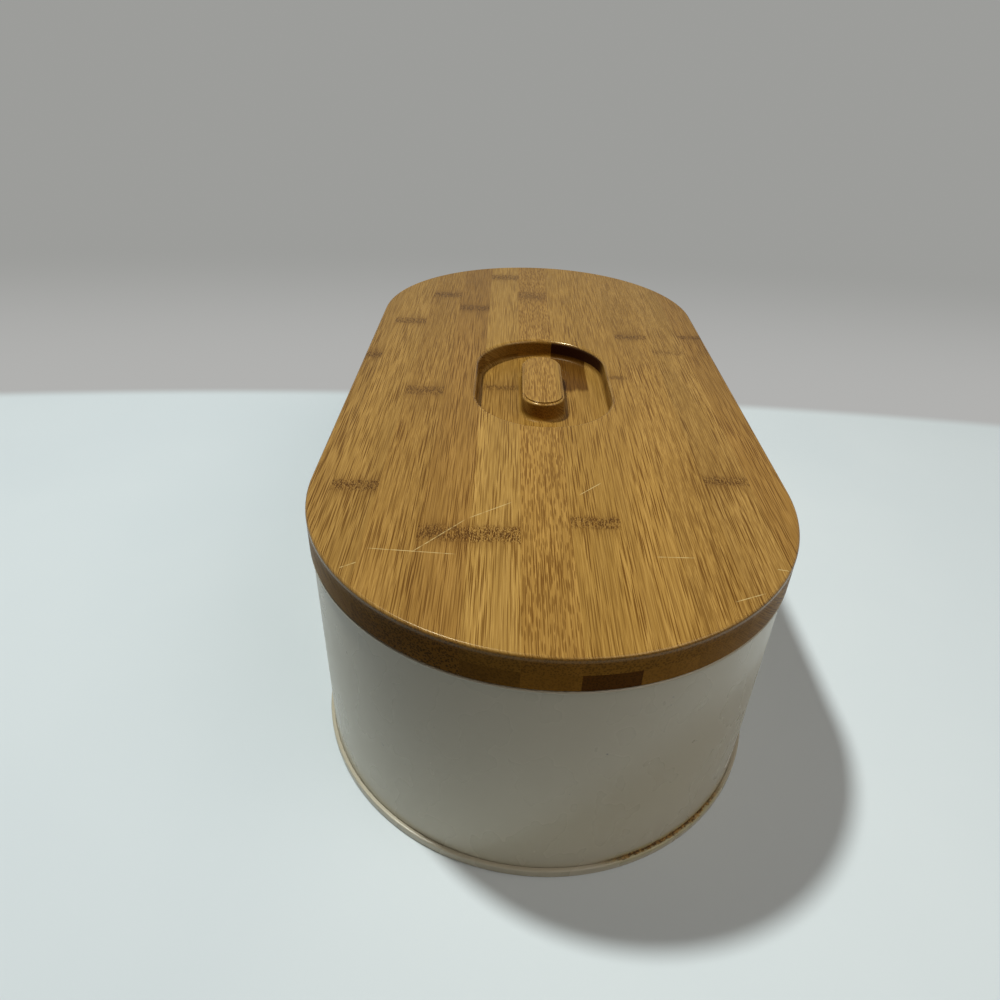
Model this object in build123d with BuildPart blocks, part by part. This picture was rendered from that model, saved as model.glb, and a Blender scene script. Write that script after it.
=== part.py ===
import os
from math import ceil, cos, pi, sin

from build123d import *

# A bread box: an oblong tin of coated sheet steel under a lift-off lid of laminated bamboo.
# Every outline is an oblong, two straight sides closed by half circles, about one upright axis.
# Millimetres, +Z up, +Y along the box, origin on the ground under the middle of the tin.

# Lid board: two plies of bamboo staves that run along the box, glued up and then machined.
lid_width = 200.0
lid_length = 412.0
ply_thickness = 7.5
lid_top_round = 1.2
lid_bottom_bevel = 0.6
stave_width = 19.5
stave_joint = 7.0
narrowest_stave = 5.0

# Grip: a bar left standing in a trough of even width, routed into the middle of the lid.
trough_straight = 39.0
recess_width = 70.0
recess_depth = 10.5
recess_round = 2.2
recess_cove = 2.5
grip_width = 22.0
grip_quirk = 0.8
grip_ledge = 0.2
grip_round = 1.1

# Locating panel: glued under the board, it drops into the mouth of the tin.
panel_thickness = 6.0
panel_bevel = 1.5
panel_clearance = 1.5

# Tin: a coated sheet wall with a curled rim, double-seamed to a drawn base.
tin_height = 105.4
sheet = 0.5
rim_hollow = 0.3
seam_gap = 0.1
seam_overlap = 2.2
seam_bevel = 0.7
base_recess = 4.0
base_margin = 14.0
base_step = 1.2
base_land = 5.0
lap_width = 8.0
lap_clearance = 1.0
lid_seat_gap = 0.2

# Flat facets in each quarter of a round: the wood's edges, its coves and the tin's curled rim.
edge_facets = 3
cove_facets = 2
curl_facets = 2

# Sizes that follow from those above.
box_straight = lid_length - lid_width
lid_half = lid_width / 2
board_bottom = tin_height + lid_seat_gap
board_thickness = 2 * ply_thickness
lid_top = board_bottom + board_thickness

recess_half = recess_width / 2
recess_floor = lid_top - recess_depth
grip_half = grip_width / 2
grip_shoulder = lid_top - grip_quirk
grip_pad_half = grip_half - grip_round - grip_ledge

rim_radius = rim_hollow / 2 + sheet
wall_outer = lid_half - rim_hollow - sheet
wall_inner = wall_outer - sheet

flange_low = sheet + seam_gap
flange_high = flange_low + sheet
hook_tip = flange_high + seam_gap
wall_hook_top = hook_tip + seam_overlap
seam_roof = wall_hook_top + seam_gap
seam_height = seam_roof + sheet
base_hook_inner = wall_outer + seam_gap
base_hook_outer = base_hook_inner + sheet
wall_hook_inner = base_hook_outer + seam_gap
wall_hook_outer = wall_hook_inner + sheet
seam_inner = wall_hook_outer + seam_gap
seam_outer = seam_inner + sheet
chuck_outer = wall_inner - seam_gap
chuck_inner = chuck_outer - sheet
base_top = base_recess + sheet

os.makedirs("parts", exist_ok=True)


def oblong_path(straight, radius):
    """A closed oblong on the ground plane that starts midway along its +X side."""
    with BuildLine() as path:
        Line((radius, 0), (radius, straight / 2))
        CenterArc((0, straight / 2), radius, 0, 180)
        Line((-radius, straight / 2), (-radius, -straight / 2))
        CenterArc((0, -straight / 2), radius, 180, 180)
        Line((radius, -straight / 2), (radius, 0))
    return path.wire()


def quarter_round(start, corner, end, facets):
    """Points along the quarter circle that rounds the square corner between start and end."""
    start, corner, end = Vector(start), Vector(corner), Vector(end)
    centre = start + end - corner
    turns = [pi / 2 * step / facets for step in range(facets + 1)]
    return [centre + (start - centre) * cos(turn) + (end - centre) * sin(turn) for turn in turns]


# Tin wall: one sheet bent round the oblong and lapped inside at a welded side seam.
# Its top edge curls outwards flush with the lid, and its foot turns out and up as a hook.
wall_path = oblong_path(box_straight, wall_outer)
curl_x = wall_inner + rim_radius
curl_z = tin_height - rim_radius
curl_low = curl_z - rim_radius
curl_bore = rim_hollow / 2
curl_quarters = [
    ((wall_inner, curl_z), (wall_inner, tin_height), (curl_x, tin_height)),
    ((curl_x, tin_height), (lid_half, tin_height), (lid_half, curl_z)),
    ((lid_half, curl_z), (lid_half, curl_low), (curl_x, curl_low)),
]
curl = [point for quarter in curl_quarters for point in quarter_round(*quarter, curl_facets)[:-1]]
lap_bottom = base_top + lap_clearance
lap_top = curl_z - lap_clearance

with BuildPart() as tin_wall:
    with BuildSketch(Plane.XZ):
        with BuildLine():
            Polyline(
                *curl,
                (curl_x, curl_low),
                (curl_x, curl_z - curl_bore),
                (curl_x + curl_bore, curl_z - curl_bore),
                (curl_x + curl_bore, curl_z + curl_bore),
                (wall_outer, curl_z + curl_bore),
                (wall_outer, flange_high),
                (wall_hook_inner, flange_high),
                (wall_hook_inner, wall_hook_top),
                (wall_hook_outer, wall_hook_top),
                (wall_hook_outer, flange_low),
                (wall_inner, flange_low),
                close=True,
            )
        make_face()
    sweep(path=wall_path)
    with Locations((wall_inner, 0, lap_bottom)):
        Box(sheet, lap_width, lap_top - lap_bottom, align=(Align.MAX, Align.CENTER, Align.MIN))

tin_wall.part.label = "tin_wall"
export_step(tin_wall.part, "parts/tin_wall.step")


# Tin base: a drawn pan whose raised middle stiffens it. Its edge runs down inside the wall,
# along the ground, up outside and back down between the wall and the wall's hook.
base_path = oblong_path(box_straight, chuck_inner)
step_foot = chuck_inner - base_margin
step_head = step_foot - base_step
land_radius = step_head - base_land
middle_low = base_recess + base_step
middle_high = middle_low + sheet
seam_corners = [(seam_outer, 0), (seam_outer, seam_height)]

with BuildPart() as tin_base:
    with BuildSketch(Plane.XZ) as base_section:
        with BuildLine():
            Polyline(
                (land_radius, middle_low),
                (step_head, middle_low),
                (step_foot, base_recess),
                (chuck_inner, base_recess),
                (chuck_inner, 0),
                (seam_outer, 0),
                (seam_outer, seam_height),
                (base_hook_inner, seam_height),
                (base_hook_inner, hook_tip),
                (base_hook_outer, hook_tip),
                (base_hook_outer, seam_roof),
                (seam_inner, seam_roof),
                (seam_inner, sheet),
                (chuck_outer, sheet),
                (chuck_outer, base_top),
                (step_foot, base_top),
                (step_head, middle_high),
                (land_radius, middle_high),
                close=True,
            )
        make_face()
        corners = base_section.vertices()
        chamfer([corners.sort_by_distance(corner)[0] for corner in seam_corners], seam_bevel)
    sweep(path=base_path)
    with BuildSketch(Plane.XY.offset(middle_low)):
        SlotCenterToCenter(box_straight, 2 * land_radius, rotation=90)
    extrude(amount=sheet)

tin_base.part.label = "tin_base"
export_step(tin_base.part, "parts/tin_base.step")


# Locating panel: a thin bamboo sheet with a bevelled foot that finds the mouth of the tin.
panel_half = wall_inner - panel_clearance

with BuildPart() as locating_panel:
    with BuildSketch(Plane.XY.offset(board_bottom)):
        SlotCenterToCenter(box_straight, 2 * panel_half, rotation=90)
    extrude(amount=-panel_thickness)
    chamfer(locating_panel.edges().group_by(Axis.Z)[0], panel_bevel)

locating_panel.part.label = "locating_panel"
export_step(locating_panel.part, "parts/locating_panel.step")


# Lid board as it leaves the router: rounded above, bevelled below, with the trough cut in one
# section round the grip. From the outside in, the section has a rounded rim, an upright wall,
# coves at both feet, and a rounded lip under the pad of the grip with a small quirk above it.
edge_path = oblong_path(box_straight, lid_half)
trough_path = oblong_path(trough_straight, recess_half)
rim_x = recess_half + recess_round
above_lid = lid_top + recess_round
beside_lid = lid_half + lid_top_round
round_foot = lid_top - lid_top_round
cove_top = recess_floor + recess_cove
lip_foot = grip_shoulder - grip_round

edge_round = quarter_round(
    (lid_half - lid_top_round, lid_top),
    (lid_half, lid_top),
    (lid_half, round_foot),
    edge_facets,
)
rim = quarter_round(
    (rim_x, lid_top),
    (recess_half, lid_top),
    (recess_half, lid_top - recess_round),
    edge_facets,
)
foot = quarter_round(
    (recess_half, cove_top),
    (recess_half, recess_floor),
    (recess_half - recess_cove, recess_floor),
    cove_facets,
)
grip_foot = quarter_round(
    (grip_half + recess_cove, recess_floor),
    (grip_half, recess_floor),
    (grip_half, cove_top),
    cove_facets,
)
lip = quarter_round(
    (grip_half, lip_foot),
    (grip_half, grip_shoulder),
    (grip_half - grip_round, grip_shoulder),
    edge_facets,
)

with BuildPart() as board:
    with BuildSketch(Plane.XY.offset(board_bottom)):
        SlotCenterToCenter(box_straight, lid_width, rotation=90)
    extrude(amount=board_thickness)
    chamfer(board.edges().group_by(Axis.Z)[0], lid_bottom_bevel)
    with BuildSketch(Plane.XZ):
        with BuildLine():
            Polyline(
                *edge_round,
                (beside_lid, round_foot),
                (beside_lid, above_lid),
                (lid_half - lid_top_round, above_lid),
                close=True,
            )
        make_face()
    sweep(path=edge_path, mode=Mode.SUBTRACT)
    with BuildSketch(Plane.XZ):
        with BuildLine():
            Polyline(
                *rim,
                *foot,
                *grip_foot,
                *lip,
                (grip_pad_half, grip_shoulder),
                (grip_pad_half, above_lid),
                (rim_x, above_lid),
                close=True,
            )
        make_face()
    sweep(path=trough_path, mode=Mode.SUBTRACT)


# Grip: what the trough leaves standing in its middle, from the line between the plies upwards.
ply_line = board_bottom + ply_thickness

with BuildPart() as inside_trough:
    with BuildSketch(Plane.XY.offset(ply_line)):
        SlotCenterToCenter(trough_straight, grip_half + recess_half, rotation=90)
    extrude(amount=ply_thickness)

with BuildPart() as grip:
    add(board.part)
    add(inside_trough.part, mode=Mode.INTERSECT)

with BuildPart() as plies:
    add(board.part)
    add(inside_trough.part, mode=Mode.SUBTRACT)


def stave_place(count):
    """Where a stave lies, counted outwards from the middle one."""
    if count == 0:
        return "middle"
    if count < 0:
        return f"left_{-count}"
    return f"right_{count}"


# Staves: the glued board parted at its glue lines, which stand one stave apart and line up in
# both plies. A stave of the upper ply that the trough cuts through keeps a front and a rear length.
joint_reach = ceil(lid_width / stave_width)
joints = [stave_joint + stave_width * step for step in range(-joint_reach, joint_reach + 1)]
joints = [x for x in joints if abs(x) < lid_half - narrowest_stave]
stave_sides = [-lid_half, *joints, lid_half]
staves_left_of_middle = sum(x < 0 for x in joints)

layers = [
    ("lower", plies.part, lid_half, board_bottom),
    ("upper", plies.part, lid_half, ply_line),
    ("grip", grip.part, grip_half, ply_line),
]

for layer, wood, half_width, bottom in layers:
    for count, (left, right) in enumerate(zip(stave_sides, stave_sides[1:]), start=-staves_left_of_middle):
        if left < half_width and right > -half_width:
            with BuildPart() as stave:
                add(wood)
                with Locations((left, 0, bottom)):
                    Box(
                        right - left,
                        lid_length,
                        ply_thickness,
                        align=(Align.MIN, Align.CENTER, Align.MIN),
                        mode=Mode.INTERSECT,
                    )
            stave.part.label = f"{layer}_stave_{stave_place(count)}"
            export_step(stave.part, f"parts/{stave.part.label}.step")
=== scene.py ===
from math import atan2, ceil, cos, hypot, pi, radians, sin, tan

import bpy
from mathutils import Euler, Matrix, Vector


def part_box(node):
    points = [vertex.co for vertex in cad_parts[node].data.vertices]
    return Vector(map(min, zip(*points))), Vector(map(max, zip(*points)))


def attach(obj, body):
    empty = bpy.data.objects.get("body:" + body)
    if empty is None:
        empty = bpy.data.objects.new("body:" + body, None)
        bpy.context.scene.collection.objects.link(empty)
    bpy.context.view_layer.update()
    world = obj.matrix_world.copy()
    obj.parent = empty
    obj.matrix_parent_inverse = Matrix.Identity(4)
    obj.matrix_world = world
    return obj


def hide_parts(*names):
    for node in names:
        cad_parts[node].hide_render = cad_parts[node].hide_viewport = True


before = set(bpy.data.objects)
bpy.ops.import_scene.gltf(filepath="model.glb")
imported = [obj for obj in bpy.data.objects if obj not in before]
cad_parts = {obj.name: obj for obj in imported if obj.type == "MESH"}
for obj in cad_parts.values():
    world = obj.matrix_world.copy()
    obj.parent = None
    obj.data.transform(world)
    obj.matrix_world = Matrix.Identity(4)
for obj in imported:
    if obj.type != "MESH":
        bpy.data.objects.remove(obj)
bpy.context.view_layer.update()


# Tin base: a pan drawn from cream-coated sheet steel, with a raised middle that stiffens it.
# Its edge is rolled round the foot of the wall into a double seam, the bead that the tin stands on.
mm = 0.001
sheet = 0.5 * mm
seam_gap = 0.1 * mm
seam_height = 4.0 * mm
seam_round = 0.7 * mm
base_recess = 4.0 * mm
base_margin = 14.0 * mm
base_step = 1.2 * mm
base_land = 5.0 * mm
press_round = 1.2 * mm
groove_round = 0.15 * mm
end_facets = 96
round_facet = radians(15)
crease_angle = radians(32)
merge_reach = 0.001 * mm

base_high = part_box("tin_base")[1]
seam_outer = base_high.x
box_straight = 2 * (base_high.y - base_high.x)
seam_inner = seam_outer - sheet
wall_hook_outer = seam_inner - seam_gap
wall_hook_inner = wall_hook_outer - sheet
base_hook_outer = wall_hook_inner - seam_gap
base_hook_inner = base_hook_outer - sheet
wall_outer = base_hook_inner - seam_gap
wall_inner = wall_outer - sheet
chuck_outer = wall_inner - seam_gap
chuck_inner = chuck_outer - sheet
seam_roof = seam_height - sheet
flange_low = sheet + seam_gap
flange_high = flange_low + sheet
hook_tip = flange_high + seam_gap
base_top = base_recess + sheet
step_foot = chuck_inner - base_margin
step_head = step_foot - base_step
land_inner = step_head - base_land
middle_low = base_recess + base_step


def rounded(corners):
    """A section's points, from corners (x, z, radius) that are each turned on their radius."""
    points = [Vector(corners[0][:2])]
    for before, (x, z, radius), after in zip(corners, corners[1:], corners[2:]):
        corner = Vector((x, z))
        if radius == 0:
            points.append(corner)
            continue
        back = (Vector(before[:2]) - corner).normalized()
        ahead = (Vector(after[:2]) - corner).normalized()
        opening = back.angle(ahead)
        turn = pi - opening
        centre = corner + (back + ahead).normalized() * radius / sin(opening / 2)
        start = corner + back * radius / tan(opening / 2) - centre
        end = corner + ahead * radius / tan(opening / 2) - centre
        facets = ceil(turn / round_facet)
        for facet in range(facets + 1):
            along = turn * facet / facets
            points.append(centre + (start * sin(turn - along) + end * sin(along)) / sin(turn))
    points.append(Vector(corners[-1][:2]))
    gaps = [merge_reach] + [(there - here).length for here, there in zip(points, points[1:])]
    return [point for point, gap in zip(points, gaps) if gap >= merge_reach]


def draw_section(name, points):
    """Starts a piece as a chain of vertices along its section, left in edit mode."""
    bpy.ops.object.select_all(action="DESELECT")
    bpy.ops.mesh.primitive_plane_add(size=mm)
    bpy.context.object.name = name
    bpy.ops.object.mode_set(mode="EDIT")
    bpy.ops.mesh.merge(type="CENTER")
    bpy.ops.transform.translate(value=(points[0].x, 0, points[0].y))
    for here, there in zip(points, points[1:]):
        step = there - here
        bpy.ops.mesh.extrude_vertices_move(TRANSFORM_OT_translate={"value": (step.x, 0, step.y)})


def sweep_oblong(straight):
    """Carries the section round an oblong: along a side, round an end, back and round the other."""
    bpy.ops.mesh.select_all(action="SELECT")
    bpy.ops.transform.translate(value=(0, -straight / 2, 0))
    for way in (1, -1):
        run = (0, way * straight, 0)
        turn_centre = (0, way * straight / 2, 0)
        bpy.ops.mesh.extrude_region_move(TRANSFORM_OT_translate={"value": run})
        bpy.ops.mesh.spin(steps=end_facets, angle=pi, center=turn_centre, axis=(0, 0, -1))
    bpy.ops.mesh.select_all(action="SELECT")
    bpy.ops.mesh.remove_doubles(threshold=merge_reach)


def pick(test):
    """Selects the vertices, of the piece in edit mode, whose place passes the test."""
    bpy.ops.mesh.select_mode(type="VERT")
    bpy.ops.mesh.select_all(action="DESELECT")
    bpy.ops.object.mode_set(mode="OBJECT")
    for vertex in bpy.context.object.data.vertices:
        vertex.select = test(vertex.co)
    bpy.ops.object.mode_set(mode="EDIT")


def from_spine(place, straight):
    """How far a place lies from the middle line of an oblong."""
    return hypot(place.x, max(abs(place.y) - straight / 2, 0))


def close_flat(height, radius, straight):
    """Closes a flat opening with one face: the loop at a height, at a radius from its spine."""
    pick(lambda place: abs(place.z - height) < merge_reach
         and abs(from_spine(place, straight) - radius) < merge_reach)
    bpy.ops.mesh.edge_face_add()


def finish_mesh():
    """Turns the faces outwards and shades rounds smooth, with flats kept flat."""
    bpy.ops.mesh.select_all(action="SELECT")
    bpy.ops.mesh.normals_make_consistent(inside=False)
    bpy.ops.object.mode_set(mode="OBJECT")
    bpy.ops.object.shade_smooth_by_angle(angle=crease_angle)
    bpy.ops.object.modifier_add(type="WEIGHTED_NORMAL")
    bpy.context.object.modifiers["WeightedNormal"].weight = 100
    bpy.context.object.modifiers["WeightedNormal"].keep_sharp = True
    bpy.ops.object.modifier_apply(modifier="WeightedNormal")
    return bpy.context.object


draw_section("tin_base_pan", rounded([
    (land_inner, middle_low, 0),
    (step_head, middle_low, press_round),
    (step_foot, base_recess, press_round),
    (chuck_inner, base_recess, press_round),
    (chuck_inner, 0, sheet),
    (seam_outer, 0, seam_round),
    (seam_outer, seam_height, seam_round),
    (base_hook_inner, seam_height, groove_round),
    (base_hook_inner, hook_tip, 0),
    (base_hook_outer, hook_tip, 0),
    (base_hook_outer, seam_roof, 0),
    (seam_inner, seam_roof, 0),
    (seam_inner, sheet, 0),
    (chuck_outer, sheet, 0),
    (chuck_outer, base_top, press_round + sheet),
    (step_foot, base_top, press_round),
    (step_head, middle_low + sheet, press_round),
    (land_inner, middle_low + sheet, 0),
]))
sweep_oblong(box_straight)
close_flat(middle_low, land_inner, box_straight)
close_flat(middle_low + sheet, land_inner, box_straight)
tin_base = finish_mesh()


def shade(tree, kind, sockets, output=0, **settings):
    """One shader node, with its settings and its sockets given as values or links."""
    node = tree.nodes.new(kind)
    for setting, value in settings.items():
        setattr(node, setting, value)
    for socket, value in sockets.items():
        if isinstance(value, bpy.types.NodeSocket):
            tree.links.new(value, node.inputs[socket])
        else:
            node.inputs[socket].default_value = value
    return node.outputs[output]


def lumps(tree, place, per_metre, detail=2.0, roughness=0.5):
    """Noise with so many lumps in a metre along x, y and z."""
    spot = shade(tree, "ShaderNodeMapping", {"Vector": place, "Scale": per_metre})
    grain = {"Vector": spot, "Scale": 1.0, "Detail": detail, "Roughness": roughness}
    return shade(tree, "ShaderNodeTexNoise", grain)


def rise(tree, value, start, end, low=0.0, high=1.0):
    """Goes softly from low to high as the value goes from start to end."""
    return shade(tree, "ShaderNodeMapRange", {0: value, 1: start, 2: end, 3: low, 4: high},
                 interpolation_type="SMOOTHSTEP")


def sums(tree, how, first, second=0.0):
    """One sum on two numbers."""
    return shade(tree, "ShaderNodeMath", {0: first, 1: second}, operation=how)


def paint(tree, amount, under, over, how="MIX"):
    """One colour laid over another by an amount."""
    return shade(tree, "ShaderNodeMix", {0: amount, 6: under, 7: over}, output=2,
                 data_type="RGBA", blend_type=how)


def new_finish(name):
    """An empty finish: its nodes, its shader and the place on the piece, in metres."""
    material = bpy.data.materials.new(name)
    material.use_nodes = True
    tree = material.node_tree
    place = shade(tree, "ShaderNodeTexCoord", {}, output="Object")
    return material, tree, tree.nodes["Principled BSDF"], place


def measure(tree, how, first, second, output="Vector"):
    """One sum on two places or directions."""
    return shade(tree, "ShaderNodeVectorMath", {0: first, 1: second}, output=output, operation=how)


def part_of(tree, vector, axis):
    """One coordinate of a place or a direction."""
    return shade(tree, "ShaderNodeSeparateXYZ", {"Vector": vector}, output=axis)


def cream_coat(name):
    """Satin cream stove enamel on steel, with soiling, specks, and rust that creeps from the seam."""
    material, tree, shader, place = new_finish(name)
    cream = (0.485, 0.432, 0.316, 1)
    soiled_cream = (0.43, 0.377, 0.265, 1)
    speck_grey = (0.18, 0.165, 0.135, 1)
    stain_olive = (0.41, 0.35, 0.155, 1)
    rust_brown = (0.115, 0.062, 0.016, 1)
    rust_ochre = (0.41, 0.235, 0.068, 1)
    chip_place = (19.2 * mm, -202.9 * mm, 72.4 * mm)
    chip_edge = 0.7 * mm
    chip_core = 0.4 * mm
    rust_begins = radians(11)
    rust_full = radians(22)
    rust_thins = radians(44)
    rust_ends = radians(60)
    stain_edge = 3.4 * mm
    stain_core = 1.2 * mm
    rust_edge = 1.3 * mm
    rust_core = 0.7 * mm
    rust_creep = 4.5 * mm
    peel_depth = 0.05 * mm

    soiling = rise(tree, lumps(tree, place, (14, 14, 9), 3.0, 0.45), 0.3, 0.75, 0.0, 0.7)
    colour = paint(tree, soiling, cream, soiled_cream)
    specks = rise(tree, lumps(tree, place, (420, 420, 420), 1.0), 0.79, 0.83, 0.0, 0.5)
    colour = paint(tree, specks, colour, speck_grey)
    from_chip = measure(tree, "DISTANCE", place, chip_place, "Value")
    colour = paint(tree, rise(tree, from_chip, chip_edge, chip_core), colour, speck_grey)

    front_centre = (0, -box_straight / 2, 0)
    ahead = measure(tree, "SUBTRACT", front_centre, place)
    turn = sums(tree, "ARCTAN2", part_of(tree, place, "X"), part_of(tree, ahead, "Y"))
    stretch = sums(tree, "MULTIPLY", rise(tree, turn, rust_begins, rust_full),
                   rise(tree, turn, rust_ends, rust_thins))
    out = measure(tree, "DISTANCE", measure(tree, "MULTIPLY", place, (1, 1, 0)), front_centre, "Value")
    section = shade(tree, "ShaderNodeCombineXYZ", {"X": out, "Y": part_of(tree, place, "Z")})
    from_groove = measure(tree, "DISTANCE", section, (wall_outer, seam_height, 0), "Value")
    stain = rise(tree, from_groove, stain_edge, stain_core, 0.0, 0.75)
    colour = paint(tree, sums(tree, "MULTIPLY", stretch, stain), colour, stain_olive)
    creep = sums(tree, "SUBTRACT", lumps(tree, place, (380, 380, 600), 4.0, 0.7), 0.5)
    ragged = sums(tree, "SUBTRACT", from_groove, sums(tree, "MULTIPLY", creep, rust_creep))
    rust = sums(tree, "MULTIPLY", stretch, rise(tree, ragged, rust_edge, rust_core))
    pitting = rise(tree, lumps(tree, place, (900, 900, 900), 3.0), 0.4, 0.62)
    colour = paint(tree, rust, colour, paint(tree, pitting, rust_brown, rust_ochre))
    tree.links.new(colour, shader.inputs["Base Color"])

    sheen = rise(tree, lumps(tree, place, (60, 60, 40), 2.0), 0.3, 0.7, 0.26, 0.3)
    dull = shade(tree, "ShaderNodeMath", {0: rust, 1: 0.5, 2: sheen}, operation="MULTIPLY_ADD")
    tree.links.new(dull, shader.inputs["Roughness"])
    peel = lumps(tree, place, (700, 700, 700), 2.0)
    orange_peel = shade(tree, "ShaderNodeBump", {"Strength": 0.05, "Distance": peel_depth, "Height": peel},
                        output="Normal")
    tree.links.new(orange_peel, shader.inputs["Normal"])
    return material


tin_finish = cream_coat("cream_stove_enamel")
tin_base.data.materials.append(tin_finish)
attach(tin_base, "tin")
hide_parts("tin_base")


# Tin wall: one cream-coated steel sheet bent round the oblong, lapped and welded inside its right side.
# Its top edge is curled outwards into a safe rim, and its foot is hooked into the double seam.
rim_hollow = 0.3 * mm
rim_facets = 24
lap_width = 8.0 * mm
lap_clearance = 1.0 * mm
lap_bevel = 0.25 * mm
weld_bite = 0.1 * mm
seam_overlap = 2.2 * mm

wall_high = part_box("tin_wall")[1]
rim_radius = rim_hollow / 2 + sheet
rim_bore = rim_hollow / 2
rim_x = wall_inner + rim_radius
rim_z = wall_high.z - rim_radius
rim_end = radians(-95)
wall_hook_top = hook_tip + seam_overlap


def arc(centre_x, centre_z, radius, start, end, facets):
    """Points round an arc of a section."""
    turns = [start + (end - start) * facet / facets for facet in range(facets + 1)]
    return [Vector((centre_x + radius * cos(turn), centre_z + radius * sin(turn))) for turn in turns]


foot = rounded([
    (wall_outer, rim_z - rim_bore, 0),
    (wall_outer, flange_high, sheet / 2),
    (wall_hook_inner, flange_high, 0),
    (wall_hook_inner, wall_hook_top, 0),
    (wall_hook_outer, wall_hook_top, 0),
    (wall_hook_outer, flange_low, sheet),
    (wall_inner, flange_low, sheet),
    (wall_inner, rim_z - rim_bore, 0),
])
curl = arc(rim_x, rim_z, rim_radius, pi, rim_end, rim_facets)
bore = arc(rim_x, rim_z, rim_bore, rim_end, pi, rim_facets // 2)
draw_section("tin_wall_sheet", curl + bore + foot + curl[:1])
sweep_oblong(box_straight)
lap_low = base_top + lap_clearance
lap_high = rim_z - lap_clearance
lap_x = wall_inner - sheet / 2 + weld_bite / 2
bpy.ops.mesh.select_all(action="DESELECT")
bpy.ops.mesh.primitive_cube_add(size=1, location=(lap_x, 0, (lap_low + lap_high) / 2),
                                scale=(sheet + weld_bite, lap_width, lap_high - lap_low))
bpy.ops.mesh.bevel(offset=lap_bevel, segments=2, affect="EDGES")
tin_wall = finish_mesh()
tin_wall.data.materials.append(tin_finish)
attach(tin_wall, "tin")
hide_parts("tin_wall")


# Lid staves: bamboo strips glued edge to edge in two plies, then machined as one board.
# A router rounds the edge and cuts the trough, and the bar it leaves standing is the grip.
lid_top_round = 1.2 * mm
lid_bottom_bevel = 0.6 * mm
recess_depth = 10.5 * mm
recess_half = 35.0 * mm
recess_round = 2.2 * mm
recess_cove = 2.5 * mm
trough_straight = 39.0 * mm
grip_half = 11.0 * mm
grip_quirk = 0.8 * mm
grip_ledge = 0.2 * mm
grip_round = 1.1 * mm
pad_round = 0.25 * mm
quirk_round = 0.12 * mm
fibre_lean = radians(40)

lid_low, lid_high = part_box("lower_stave_left_5")
board_bottom = lid_low.z
ply_line = lid_high.z
lid_half = -lid_low.x
lid_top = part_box("upper_stave_middle")[1].z
recess_floor = lid_top - recess_depth
grip_shoulder = lid_top - grip_quirk
pad_half = grip_half - grip_round - grip_ledge
pad_flat = pad_half - 2 * pad_round
top_edge = lid_half - lid_top_round
bottom_edge = lid_half - lid_bottom_bevel
rim_outer = recess_half + recess_round

draw_section("lid_board", rounded([
    (top_edge, lid_top, 0),
    (lid_half, lid_top, lid_top_round),
    (lid_half, board_bottom + lid_bottom_bevel, lid_bottom_bevel / 2),
    (bottom_edge, board_bottom, 0),
]))
sweep_oblong(box_straight)
close_flat(board_bottom, bottom_edge, box_straight)
bpy.ops.object.mode_set(mode="OBJECT")
lid_board = bpy.context.object

draw_section("trough", rounded([
    (rim_outer, lid_top, 0),
    (recess_half, lid_top, recess_round),
    (recess_half, recess_floor, recess_cove),
    (grip_half, recess_floor, recess_cove),
    (grip_half, grip_shoulder, grip_round),
    (pad_half, grip_shoulder, quirk_round),
    (pad_half, lid_top, pad_round),
    (pad_flat, lid_top, 0),
]))
sweep_oblong(trough_straight)
close_flat(lid_top, pad_flat, trough_straight)
bpy.ops.object.mode_set(mode="OBJECT")
lid_board.select_set(True)
bpy.context.view_layer.objects.active = lid_board
bpy.ops.object.join()
bpy.ops.object.mode_set(mode="EDIT")
pick(lambda place: abs(place.z - lid_top) < merge_reach
     and (abs(from_spine(place, trough_straight) - rim_outer) < merge_reach
          or abs(from_spine(place, box_straight) - top_edge) < merge_reach))
bpy.ops.mesh.fill()
bpy.ops.mesh.select_all(action="SELECT")
bpy.ops.mesh.normals_make_consistent(inside=False)
bpy.ops.object.mode_set(mode="OBJECT")


def saw(place, across, keep_front):
    """Cuts the piece in edit mode on a plane, closes the cut and drops the other side."""
    bpy.ops.mesh.select_all(action="SELECT")
    bpy.ops.mesh.bisect(plane_co=place, plane_no=across, use_fill=True, threshold=merge_reach,
                        clear_inner=keep_front, clear_outer=not keep_front)


def part_stave(node):
    """One stave of the board, parted at its glue lines and at the line between the plies."""
    layer, place = node.split("_stave_")
    low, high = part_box("lower_stave_" + place)
    bpy.ops.object.select_all(action="DESELECT")
    lid_board.select_set(True)
    bpy.context.view_layer.objects.active = lid_board
    bpy.ops.object.duplicate()
    bpy.context.object.name = node + "_wood"
    bpy.ops.object.mode_set(mode="EDIT")
    if low.x > -lid_half + merge_reach:
        saw((low.x, 0, 0), (1, 0, 0), True)
    if high.x < lid_half - merge_reach:
        saw((high.x, 0, 0), (1, 0, 0), False)
    saw((0, 0, ply_line), (0, 0, 1), layer != "lower")
    trough_middle = (grip_half + recess_half) / 2
    if layer == "upper":
        pick(lambda spot: from_spine(spot, trough_straight) < trough_middle)
        bpy.ops.mesh.delete(type="VERT")
    if layer == "grip":
        pick(lambda spot: from_spine(spot, trough_straight) > trough_middle)
        bpy.ops.mesh.delete(type="VERT")
    return finish_mesh()


def bundles(tree, place, per_metre, space="2D"):
    """How near a fibre bundle lies, with so many bundles in a metre along x, y and z."""
    spot = shade(tree, "ShaderNodeMapping", {
        "Vector": place, "Rotation": (0, fibre_lean, 0), "Scale": per_metre})
    return shade(tree, "ShaderNodeTexVoronoi", {"Vector": spot, "Scale": 1.0}, output="Distance",
                 voronoi_dimensions=space)


def tinted(colour, tint):
    """A colour multiplied by a tint, channel by channel."""
    return tuple(part * share for part, share in zip(colour, tint)) + (1,)


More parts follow.
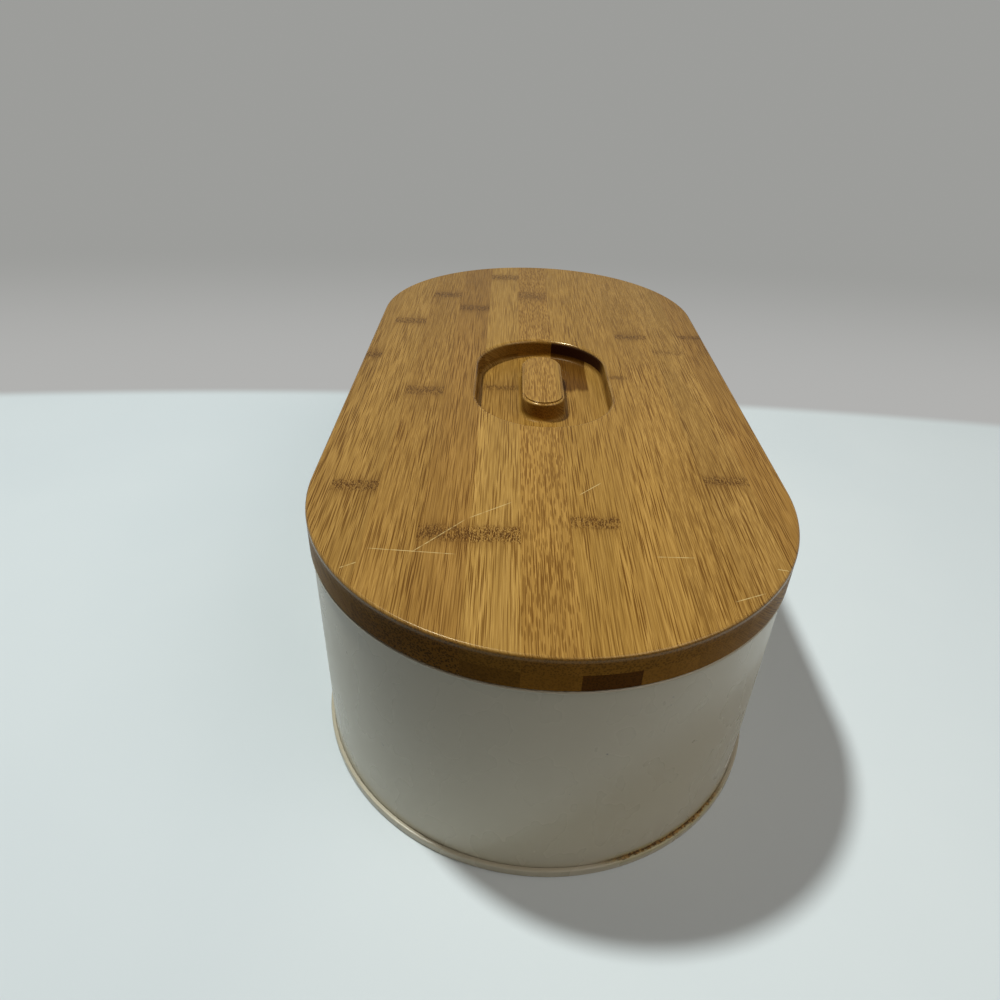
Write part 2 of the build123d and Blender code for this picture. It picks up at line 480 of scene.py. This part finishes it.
def soak(tree, colour, tint, amount=1.0):
    """A shader's colour, soaked in a tint by an amount."""
    return paint(tree, amount, colour, tint, "MULTIPLY")


def bamboo_ground(tree, spot, along, waver, tone, splice):
    """The plain colour of a stave: patchy, painted darker towards the rear as painted shade, and straw in a
    splice.
    """
    straw = (0.374, 0.203, 0.046)
    darker = (0.9, 0.89, 0.86)
    paler = (1.1, 1.11, 1.13)
    splice_paler = (1.05, 1.05, 1.05)
    rear_shade_tint = (0.8, 0.79, 0.75, 1)
    rear_shade_start = -120 * mm
    rear_shade_end = 200 * mm
    splice_ragged = 9 * mm
    splice_front_blend = 2 * mm
    splice_rear_blend = 3 * mm

    own_tone = tinted(straw, tone)
    patches = rise(tree, lumps(tree, spot, (60, 7, 60), 3.0), 0.3, 0.7)
    colour = paint(tree, patches, tinted(own_tone, darker), tinted(own_tone, paler))
    if splice is not None:
        start, end = splice
        plain = paint(tree, patches, tinted(straw, darker), tinted(straw, splice_paler))
        ragged = sums(tree, "ADD", along, sums(tree, "MULTIPLY", waver, splice_ragged))
        begun = rise(tree, ragged, start - splice_front_blend, start + splice_front_blend)
        not_over = rise(tree, ragged, end + splice_rear_blend, end - splice_rear_blend)
        colour = paint(tree, sums(tree, "MULTIPLY", begun, not_over), colour, plain)
    # The stave is painted darker towards the rear: painted shade.
    return soak(tree, colour, rear_shade_tint, rise(tree, along, rear_shade_start, rear_shade_end))


def bamboo_fibres(tree, spot, further, along, flecks):
    """How strongly dark fibres show: long ones, thin ones and, on some staves, short flecks."""
    long_bundles = (1630, 25, 1630)
    thin_bundles = (3000, 50, 3000)
    fleck_bundles = (1630, 105, 1630)
    strong_front = -50 * mm
    weak_rear = 200 * mm
    rear_strength = 0.7

    swell = rise(tree, lumps(tree, spot, (120, 14, 120), 2.0), 0.33, 0.62, 0.45, 1.0)
    swell = sums(tree, "MULTIPLY", swell, rise(tree, along, strong_front, weak_rear, 1.0, rear_strength))
    long_fibres = rise(tree, bundles(tree, further, long_bundles), 0.34, 0.2)
    thin_fibres = rise(tree, bundles(tree, further, thin_bundles), 0.32, 0.18, 0.0, 0.6)
    fibres = sums(tree, "MULTIPLY", sums(tree, "MAXIMUM", long_fibres, thin_fibres), swell)
    if flecks:
        dashes = rise(tree, bundles(tree, spot, fleck_bundles), 0.34, 0.2, 0.0, flecks)
        fibres = sums(tree, "MAXIMUM", fibres, dashes)
    return fibres


def bamboo_knuckles(tree, spot, further, along, waver, colour, dark, darkest, pale, knuckles):
    """Knuckles over a colour: a streaky halo, a dark core, and dark and pale stitches in the core."""
    stitch_bundles = (1800, 230, 1800)
    pale_bundles = (2400, 600, 2400)
    streak_bundles = (2600, 90, 2600)
    knuckle_waver = 4 * mm
    halo_reach = 9 * mm
    core_reach = 2 * mm
    core_inset = 1 * mm

    clumps = sums(tree, "SUBTRACT", lumps(tree, spot, (420, 110, 420), 2.0), 0.5)
    stitches = sums(tree, "ADD", bundles(tree, spot, stitch_bundles), sums(tree, "MULTIPLY", clumps, 0.5))
    pale_dots = rise(tree, bundles(tree, further, pale_bundles), 0.3, 0.18, 0.0, 0.6)
    streaks = rise(tree, bundles(tree, further, streak_bundles), 0.45, 0.25, 0.2, 1.0)
    for middle, half_height, strength in knuckles:
        outer = half_height + core_reach
        inner = half_height - core_inset
        below = sums(tree, "SUBTRACT", along, middle)
        off = sums(tree, "ABSOLUTE", sums(tree, "ADD", below, sums(tree, "MULTIPLY", waver, knuckle_waver)))
        halo = rise(tree, off, half_height + halo_reach, inner, 0.0, 0.7 * strength)
        colour = paint(tree, sums(tree, "MULTIPLY", halo, streaks), colour, dark)
        sparser = sums(tree, "ADD", stitches, rise(tree, off, 0.0, outer, 0.0, 0.15))
        core = rise(tree, off, outer, inner, 0.0, strength)
        colour = paint(tree, sums(tree, "MULTIPLY", core, 0.4), colour, dark)
        dots = sums(tree, "MULTIPLY", core, rise(tree, sparser, 0.5, 0.36))
        colour = paint(tree, dots, colour, darkest)
        colour = paint(tree, sums(tree, "MULTIPLY", core, pale_dots), colour, pale)
    return colour


def bamboo_ends(tree, spot, ground, pores, ends):
    """The darker end grain of a stave, pitted with pores."""
    end_tint = (0.56 * ends, 0.47 * ends, 0.285 * ends, 1)
    pit_tint = (0.13, 0.1, 0.05, 1)
    pore_bundles = (1200, 60, 1200)
    pits = rise(tree, bundles(tree, spot, pore_bundles, "3D"), 0.54, 0.33, 0.0, pores)
    return paint(tree, pits, soak(tree, ground, end_tint), soak(tree, ground, pit_tint))


def bamboo_scratches(tree, place, spot, colour, scratches):
    """Thin pale scratches over a colour, each given by its two ends on the lid in millimetres."""
    scratch_cream = (0.6, 0.43, 0.18, 1)
    half_width = 0.21 * mm
    for start, end in scratches:
        middle = ((start[0] + end[0]) / 2 * mm, (start[1] + end[1]) / 2 * mm, 0)
        half_length = hypot(end[0] - start[0], end[1] - start[1]) / 2 * mm
        slant = atan2(end[1] - start[1], end[0] - start[0])
        line = shade(tree, "ShaderNodeMapping", {
            "Vector": place, "Location": middle, "Rotation": (0, 0, slant),
            "Scale": (half_length, half_width, 1)}, vector_type="TEXTURE")
        to_end = sums(tree, "ABSOLUTE", part_of(tree, line, "X"))
        to_side = sums(tree, "ABSOLUTE", part_of(tree, line, "Y"))
        mark = sums(tree, "MULTIPLY", rise(tree, to_end, 1.0, 0.7), rise(tree, to_side, 1.3, 0.4))
        skips = rise(tree, lumps(tree, spot, (420, 420, 420)), 0.32, 0.55, 0.3, 0.95)
        colour = paint(tree, sums(tree, "MULTIPLY", mark, skips), colour, scratch_cream)
    return colour


def satin_lacquer(tree, shader, place, fine, upward, steep):
    """Lacquer that is polished on the lid's handled rounding, and duller upright and in the trough."""
    amber = (1, 0.8, 0.5, 1)
    rounding_foot = lid_top - 2.5 * mm
    rounding_head = lid_top - 1.5 * mm
    trough_foot = lid_top - 5 * mm
    handled_polish = -0.12
    handled_gloss = 0.3

    level = part_of(tree, place, "Z")
    satin = rise(tree, fine, 0.3, 0.7, 0.4, 0.3)
    on_top = rise(tree, level, rounding_foot, rounding_head)
    handled = sums(tree, "MULTIPLY", on_top, rise(tree, upward, 0.985, 0.9))
    polish = shade(tree, "ShaderNodeMath", {0: handled, 1: handled_polish, 2: satin},
                   operation="MULTIPLY_ADD")
    tree.links.new(polish, shader.inputs["Roughness"])
    unworn = rise(tree, level, trough_foot, rounding_foot, 0.45, 1.0)
    matt = sums(tree, "MULTIPLY", unworn, rise(tree, steep, 0.0, 1.0, 0.2, 0.03))
    gloss = shade(tree, "ShaderNodeMath", {0: handled, 1: handled_gloss, 2: matt},
                  operation="MULTIPLY_ADD")
    tree.links.new(gloss, shader.inputs["Specular IOR Level"])
    shader.inputs["Specular Tint"].default_value = amber


def lacquered_bamboo(name, tone, shift, flecks=0.0, pores=0.5, knuckles=(), scratches=(), scorch=None,
                     splice=None, ends=1.0):
    """Bamboo under satin lacquer: dark and pale fibres along the stave, knuckles, darker ends, and upright
    faces painted darker as painted shade.

    Shift moves the pattern, so that no two staves are alike. Flecks and pores are how strongly they show.
    Knuckles are (place along the stave, half height, strength), and scratches are pairs of ends.
    Scorch is the stretch along the box where the router burnt the upright faces, and splice is the
    stretch where the stave is plain straw instead of its own tone. Ends is how pale its end grain is.
    """
    material, tree, shader, place = new_finish(name)
    fine_tint = (0.62, 0.55, 0.45, 1)
    pale_tint = (1.25, 1.3, 1.5, 1)
    dark_tint = (0.36, 0.27, 0.15, 1)
    darkest_tint = (0.2, 0.13, 0.06, 1)
    upright_shade_tint = (0.78, 0.77, 0.72, 1)
    charred = (0.02, 0.004, 0.003, 1)
    pale_bundles = (1900, 22, 1900)
    scorch_rise = 10 * mm
    scorch_blend = 2 * mm
    ridge_depth = 0.05 * mm

    own_shift = (0.11 * shift, shift, 0.37 * shift)
    spot = shade(tree, "ShaderNodeMapping", {"Vector": place, "Location": own_shift})
    further = shade(tree, "ShaderNodeMapping", {"Vector": spot, "Location": (0.313, 0.571, 0.237)})
    along = part_of(tree, place, "Y")
    waver = sums(tree, "SUBTRACT", lumps(tree, spot, (260, 20, 260), 2.0), 0.5)
    ground = bamboo_ground(tree, spot, along, waver, tone, splice)
    pale = soak(tree, ground, pale_tint)
    dark = soak(tree, ground, dark_tint)
    darkest = soak(tree, ground, darkest_tint)

    fine = lumps(tree, spot, (4200, 70, 4200), 1.0)
    colour = soak(tree, ground, fine_tint, rise(tree, fine, 0.3, 0.7, 0.4, 0.0))
    colour = paint(tree, rise(tree, bundles(tree, spot, pale_bundles), 0.36, 0.2, 0.0, 0.6), colour, pale)
    fibres = bamboo_fibres(tree, spot, further, along, flecks)
    colour = paint(tree, fibres, colour, dark)
    colour = bamboo_knuckles(tree, spot, further, along, waver, colour, dark, darkest, pale, knuckles)

    facing = shade(tree, "ShaderNodeTexCoord", {}, output="Normal")
    upward = sums(tree, "ABSOLUTE", part_of(tree, facing, "Z"))
    steep = rise(tree, upward, 0.7, 0.3)
    # Upright faces are painted darker: painted shade.
    colour = soak(tree, colour, upright_shade_tint, steep)
    end_grain = rise(tree, sums(tree, "ABSOLUTE", part_of(tree, facing, "Y")), 0.5, 0.95)
    colour = paint(tree, end_grain, colour, bamboo_ends(tree, spot, ground, pores, ends))
    if scorch is not None:
        start, end = scorch
        burnt = sums(tree, "MULTIPLY", rise(tree, along, start - scorch_rise, start + scorch_blend),
                     rise(tree, along, end + scorch_blend, end, 0.0, 0.93))
        colour = paint(tree, sums(tree, "MULTIPLY", steep, burnt), colour, charred)
    colour = bamboo_scratches(tree, place, spot, colour, scratches)
    tree.links.new(colour, shader.inputs["Base Color"])

    satin_lacquer(tree, shader, place, fine, upward, steep)
    ridges = shade(tree, "ShaderNodeBump", {"Strength": 0.15, "Distance": ridge_depth, "Height": fibres},
                   output="Normal", invert=True)
    tree.links.new(ridges, shader.inputs["Normal"])
    return material


# What shows on each stave, with places in millimetres from the middle of the box, to the right and rear.
pattern_step = 0.9
lower_start = 20
upper_staves = {
    "left_5": {"tone": (0.93, 0.93, 0.97), "knuckles": [(25, 3.5, 0.85)]},
    "left_4": {"tone": (0.98, 0.99, 1.02), "knuckles": [(81, 4, 0.75), (-112, 3.5, 0.9)]},
    "left_3": {"tone": (0.98, 0.97, 0.97), "knuckles": [(134, 4.5, 0.75), (-20, 4.5, 0.75)], "flecks": 0.25,
               "pores": 0.9},
    "left_2": {"tone": (0.89, 0.85, 0.82), "knuckles": [(109, 4.5, 0.7), (-143.5, 4.6, 0.8)], "pores": 0.8},
    "left_1": {"tone": (1.17, 1.21, 1.27), "knuckles": [(178, 5, 0.8), (-143.2, 4.6, 1.0)], "ends": 0.92},
    "middle": {"tone": (1.14, 1.13, 1.11), "knuckles": [(137, 8, 0.5)], "flecks": 0.75},
    "right_1": {"tone": (1.07, 1.07, 1.02), "knuckles": [(-133.5, 3.4, 0.85)], "scorch": (40, 60)},
    "right_2": {"tone": (1.08, 1.08, 1.06), "knuckles": [(4, 2, 0.5)], "scorch": (28, 60)},
    "right_3": {"tone": (1.06, 1.06, 1.06), "knuckles": [(65, 3, 0.7)], "flecks": 0.4},
    "right_4": {"tone": (1.08, 1.1, 1.17), "knuckles": [(-99.5, 3, 0.8), (42, 2.5, 0.4)], "flecks": 0.35},
    "right_5": {"tone": (0.9, 0.86, 0.83), "knuckles": [(67, 2.5, 0.7)]},
}
lid_scratches = [
    ((-69.7, -154.2), (-35.2, -156.1)),
    ((-52.9, -156.5), (-33.4, -133.6)),
    ((-33.4, -133.6), (-15.2, -120.5)),
    ((-76.5, -166.1), (-70.8, -162.5)),
    ((11.4, -114.4), (21.9, -103.9)),
    ((36.7, -153.7), (51.8, -153.5)),
    ((79.6, -158.5), (84.0, -159.4)),
    ((59.8, -177.2), (72.1, -172.0)),
]
lower_staves = {
    "left_5": {"tone": (0.9, 0.9, 0.95), "pores": 0.35},
    "left_4": {"tone": (0.95, 0.93, 0.95), "pores": 0.4},
    "left_3": {"tone": (0.86, 0.82, 0.8), "pores": 0.95},
    "left_2": {"tone": (0.96, 0.94, 0.9), "pores": 0.9},
    "left_1": {"tone": (0.94, 0.92, 0.86), "knuckles": [(8.7, 2.5, 0.7)], "ends": 0.82, "pores": 0.4},
    "middle": {"tone": (1.02, 1.0, 0.9), "ends": 1.12, "pores": 0.3},
    "right_1": {"tone": (0.4, 0.31, 0.2), "pores": 0.4, "splice": (-60, 8.5)},
    "right_2": {"tone": (1.12, 1.12, 1.1), "pores": 0.3},
    "right_3": {"tone": (1.04, 1.04, 1.04), "pores": 0.3},
    "right_4": {"tone": (0.95, 0.95, 1.0), "pores": 0.4},
    "right_5": {"tone": (0.9, 0.88, 0.9), "pores": 0.4},
}


def stave_finish(layer, place, shift, facts):
    """The bamboo of one stave, from what shows on it."""
    low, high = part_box(layer + "_stave_" + place)
    crossing = [ends for ends in lid_scratches
                if min(x for x, y in ends) * mm < high.x and max(x for x, y in ends) * mm > low.x]
    knuckles = [(y * mm, half * mm, strength) for y, half, strength in facts.get("knuckles", [])]
    scorch = [y * mm for y in facts["scorch"]] if "scorch" in facts else None
    splice = [y * mm for y in facts["splice"]] if "splice" in facts else None
    return lacquered_bamboo(
        "bamboo_" + layer + "_" + place, facts["tone"], shift, facts.get("flecks", 0.0),
        facts.get("pores", 0.5), knuckles, crossing if layer == "upper" else (), scorch, splice,
        facts.get("ends", 1.0))


upper_finishes = {
    place: stave_finish("upper", place, pattern_step * count, facts)
    for count, (place, facts) in enumerate(upper_staves.items(), start=1)
}
lower_finishes = {
    place: stave_finish("lower", place, pattern_step * count, facts)
    for count, (place, facts) in enumerate(lower_staves.items(), start=lower_start)
}

for node in sorted(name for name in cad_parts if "_stave_" in name):
    layer, place = node.split("_stave_")
    stave = part_stave(node)
    stave.data.materials.clear()
    stave.data.materials.append((lower_finishes if layer == "lower" else upper_finishes)[place])
    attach(stave, "lid")
    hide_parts(node)
bpy.data.objects.remove(lid_board)


# Locating panel: a thin bamboo sheet glued under the lid's board, a little smaller than the tin's mouth.
# Its lower edge is bevelled, so that the lid finds its place when it is set down.
panel_bevel = 1.5 * mm
panel_edge = 0.4 * mm
panel_tone = (1.0, 1.0, 1.05)
panel_shift = 41
panel_flecks = 0.2
panel_low, panel_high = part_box("locating_panel")
panel_half = panel_high.x
panel_flat = panel_half - 3 * panel_bevel
draw_section("locating_panel_board", rounded([
    (panel_half - panel_edge, panel_high.z, 0),
    (panel_half, panel_high.z, panel_edge),
    (panel_half, panel_low.z + panel_bevel, panel_edge),
    (panel_half - panel_bevel, panel_low.z, panel_edge),
    (panel_flat, panel_low.z, 0),
]))
sweep_oblong(box_straight)
close_flat(panel_high.z, panel_half - panel_edge, box_straight)
close_flat(panel_low.z, panel_flat, box_straight)
panel = finish_mesh()
panel.data.materials.append(lacquered_bamboo("bamboo_panel_finish", panel_tone, panel_shift, panel_flecks))
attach(panel, "lid")
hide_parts("locating_panel")


# Floor: a pale sheet of paper that the box stands on and that ends a little behind it, painted darker at
# its left as painted shade.
# Beyond it lies a grey backdrop that glows instead of being lit, painted brighter at its foot as painted
# light, and less light is thrown back from far off than from the paper.
floor_size = 40.0
backdrop_grey = (0.335, 0.337, 0.325, 1)
backdrop_foot_glow = (0.44, 0.44, 0.43, 1)
paper_shaded_left = (0.655, 0.7, 0.705, 1)
paper_right = (0.71, 0.757, 0.757, 1)
paper_mottle = (0.97, 0.975, 0.98, 1)
paper_roughness = 0.8
dim_bounce_grey = (0.1, 0.1, 0.1, 1)
shade_left_end = -0.15
shade_right_end = 0.12
bounce_near = 0.27
bounce_far = 0.4
edge_centre = (0, -3, 0)
edge_near = 3.22
edge_far = 3.238
fade_near = 0.7
fade_far = 1.3
foot_near = 3.24
foot_far = 3.7
glow_fade_near = 0.9
glow_fade_far = 2.2
bpy.ops.object.select_all(action="DESELECT")
bpy.ops.mesh.primitive_plane_add(size=floor_size)
floor = bpy.context.object
floor.name = "floor"
material, tree, shader, place = new_finish("pale_paper")
# The paper is painted darker at the left: painted shade.
left_shade_fade = rise(tree, part_of(tree, place, "X"), shade_left_end, shade_right_end)
paper = paint(tree, left_shade_fade, paper_shaded_left, paper_right)
patches = rise(tree, lumps(tree, place, (5, 5, 5), 4.0), 0.35, 0.65)
paper = soak(tree, paper, paper_mottle, patches)
tree.links.new(paper, shader.inputs["Base Color"])
shader.inputs["Roughness"].default_value = paper_roughness


def seen_direct(tree):
    """Whether a ray comes from the camera, a glossy reflection or glass, and not from diffuse light."""
    from_camera = shade(tree, "ShaderNodeLightPath", {}, output="Is Camera Ray")
    from_gloss = shade(tree, "ShaderNodeLightPath", {}, output="Is Glossy Ray")
    from_glass = shade(tree, "ShaderNodeLightPath", {}, output="Is Transmission Ray")
    return sums(tree, "MAXIMUM", sums(tree, "MAXIMUM", from_camera, from_gloss), from_glass)


direct = seen_direct(tree)
indirect = sums(tree, "SUBTRACT", 1.0, direct)
from_box = measure(tree, "LENGTH", place, place, "Value")
# Diffuse light reaching the floor beyond the paper meets a dark grey instead, so less light bounces back
# onto the box.
off_paper = sums(tree, "MULTIPLY", rise(tree, from_box, bounce_near, bounce_far), indirect)
dim_bounce = shade(tree, "ShaderNodeBsdfDiffuse", {"Color": dim_bounce_grey})
surface = shade(tree, "ShaderNodeMixShader", {0: off_paper, 1: shader.outputs["BSDF"], 2: dim_bounce})
distance = measure(tree, "DISTANCE", place, edge_centre, "Value")
past = sums(tree, "MAXIMUM", rise(tree, distance, edge_near, edge_far),
            rise(tree, from_box, fade_near, fade_far))
far = sums(tree, "MULTIPLY", past, direct)
# The backdrop glows brighter at its foot and greyer further off: painted light, not a lamp.
height = sums(tree, "MAXIMUM", rise(tree, distance, foot_near, foot_far),
              rise(tree, from_box, glow_fade_near, glow_fade_far))
wall = paint(tree, height, backdrop_foot_glow, backdrop_grey)
backdrop = shade(tree, "ShaderNodeEmission", {"Color": wall, "Strength": 1.0})
surface = shade(tree, "ShaderNodeMixShader", {0: far, 1: surface, 2: backdrop})
tree.links.new(surface, tree.nodes["Material Output"].inputs["Surface"])
floor.data.materials.append(material)


# Light: one small lamp high at the left of the box, which throws its shadow to the right and the front.
# A wide soft light in front at the right and a weak glow of the room lift the shaded side.
lamp_place = (-0.463, 0.115, 1.5)
lamp_size = 0.12
lamp_power = 19.5
lamp_white = (0.94, 1.0, 1.0)
soft_place = (0.9, -0.7, 1.3)
soft_size = 1.2
soft_power = 8.8
soft_white = (1, 0.95, 0.92)
room_glow = (1.0, 0.95, 0.9, 1)
room_strength = 0.06


def hang_light(name, place, shape, size, power, colour):
    """One area light, turned towards the box."""
    bpy.ops.object.light_add(type="AREA", location=place)
    light = bpy.context.object
    light.name = name
    light.rotation_euler = Vector(place).to_track_quat("Z", "Y").to_euler()
    light.data.shape = shape
    light.data.size = size
    light.data.energy = power
    light.data.color = colour


hang_light("lamp", lamp_place, "DISK", lamp_size, lamp_power, lamp_white)
hang_light("soft_box", soft_place, "SQUARE", soft_size, soft_power, soft_white)
world = bpy.data.worlds.new("room")
bpy.context.scene.world = world
world.use_nodes = True
room = world.node_tree
room.nodes["Background"].inputs["Color"].default_value = room_glow
room.nodes["Background"].inputs["Strength"].default_value = room_strength
glow = room.nodes["Background"].outputs["Background"]
backdrop = shade(room, "ShaderNodeBackground", {"Color": backdrop_grey, "Strength": 1.0})
surface = shade(room, "ShaderNodeMixShader", {0: seen_direct(room), 1: glow, 2: backdrop})
room.links.new(surface, room.nodes["World Output"].inputs["Surface"])


# Camera: held close in front of one end of the box and above it, as the photograph was taken.
# Its place, tilt and lens are those that bring the outlines of the lid and the tin onto the photograph.
eye = Vector((-20.9, -365.8, 284.5)) * mm
pitch_down = radians(33.67)
yaw = radians(0.04)
roll = radians(1.99)
lens_length = 26.39
film_width = 36.0
nearest = 0.01
bpy.ops.object.camera_add(location=eye)
camera = bpy.context.object
camera.name = "camera"
aim = Euler((pi / 2 - pitch_down, 0, -yaw)).to_matrix() @ Matrix.Rotation(roll, 3, "Z")
camera.rotation_euler = aim.to_euler()
camera.data.lens = lens_length
camera.data.sensor_width = film_width
camera.data.clip_start = nearest
bpy.context.scene.camera = camera
bpy.context.scene.view_settings.view_transform = "Standard"
